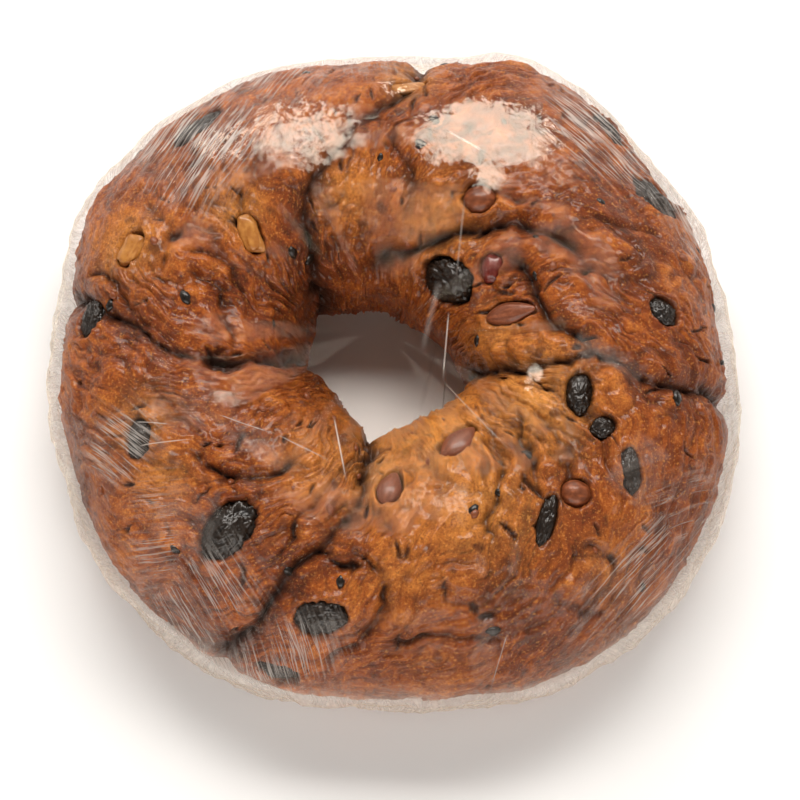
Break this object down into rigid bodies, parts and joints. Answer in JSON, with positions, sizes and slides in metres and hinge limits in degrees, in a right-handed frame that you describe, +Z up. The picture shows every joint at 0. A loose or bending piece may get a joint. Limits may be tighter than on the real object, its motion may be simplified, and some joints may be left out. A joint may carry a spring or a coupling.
{
  "type": "ring cake",
  "caption": "Twisted ring of golden brown fruit and nut dough with an uneven hole, wrapped tightly in clear stretch film.",
  "frame": {"origin": "on the table, under the middle of the wrapped cake's box", "axes": "+Z up, through the hole; +X to the right and +Y away from the side with the lowest, broadest hump"},
  "size_m": [0.2688, 0.2677, 0.0803],
  "materials": {
    "crust": "glazed, unevenly baked dough crust, golden to dark brown",
    "film": "clear stretch film, glossy, finely wrinkled",
    "raisin_skin": "wrinkled black raisin skin, moist",
    "almond_skin": "ribbed brown almond skin",
    "hazelnut_skin": "smooth brown hazelnut skin",
    "candied_cherry": "dark red candied cherry, sticky",
    "candied_peel": "amber candied orange peel, translucent"
  },
  "bodies": {
    "root": {"dough_ring": "crust", "film_wrap": "film", "raisin_01": "raisin_skin", "raisin_02": "raisin_skin", "raisin_03": "raisin_skin", "raisin_04": "raisin_skin", "raisin_05": "raisin_skin", "raisin_06": "raisin_skin", "raisin_07": "raisin_skin", "raisin_08": "raisin_skin", "raisin_09": "raisin_skin", "raisin_10": "raisin_skin", "raisin_11": "raisin_skin", "raisin_12": "raisin_skin", "raisin_13": "raisin_skin", "raisin_14": "raisin_skin", "almond_01": "almond_skin", "almond_02": "almond_skin", "almond_03": "almond_skin", "hazelnut_01": "hazelnut_skin", "hazelnut_02": "hazelnut_skin", "cherry_01": "candied_cherry", "peel_01": "candied_peel", "peel_02": "candied_peel", "peel_03": "candied_peel"}
  },
  "joints": []
}
